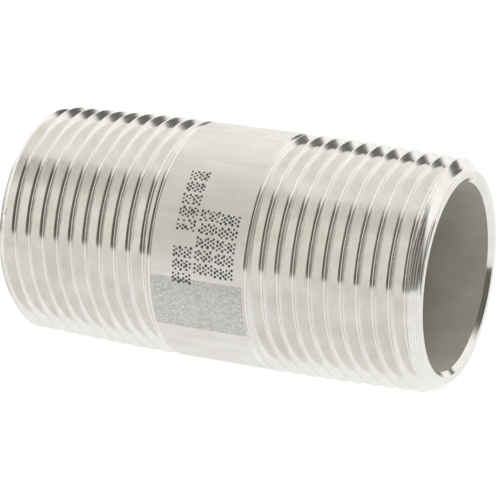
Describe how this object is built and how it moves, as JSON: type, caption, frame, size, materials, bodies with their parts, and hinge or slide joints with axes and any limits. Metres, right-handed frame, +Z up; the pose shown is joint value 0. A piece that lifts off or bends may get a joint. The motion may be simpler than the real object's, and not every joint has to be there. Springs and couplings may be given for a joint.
{
  "type": "threaded pipe nipple",
  "caption": "Short stainless pipe with a right-hand taper pipe thread on both ends and a plain band between them, for joining two female-threaded fittings.",
  "frame": {"origin": "on the bore's axis, halfway between the two end faces", "axes": "+X along the bore's axis; +Z up, with the nipple on its side; -Y is the side with the ink dots"},
  "size_m": [0.0508, 0.0266, 0.0266],
  "materials": {
    "stainless": "satin machined and mill-finished stainless steel, grade 316",
    "ink": "dried dark ink dots on the plain band, no lettering"
  },
  "bodies": {
    "root": {"pipe_nipple": "stainless"}
  },
  "joints": []
}
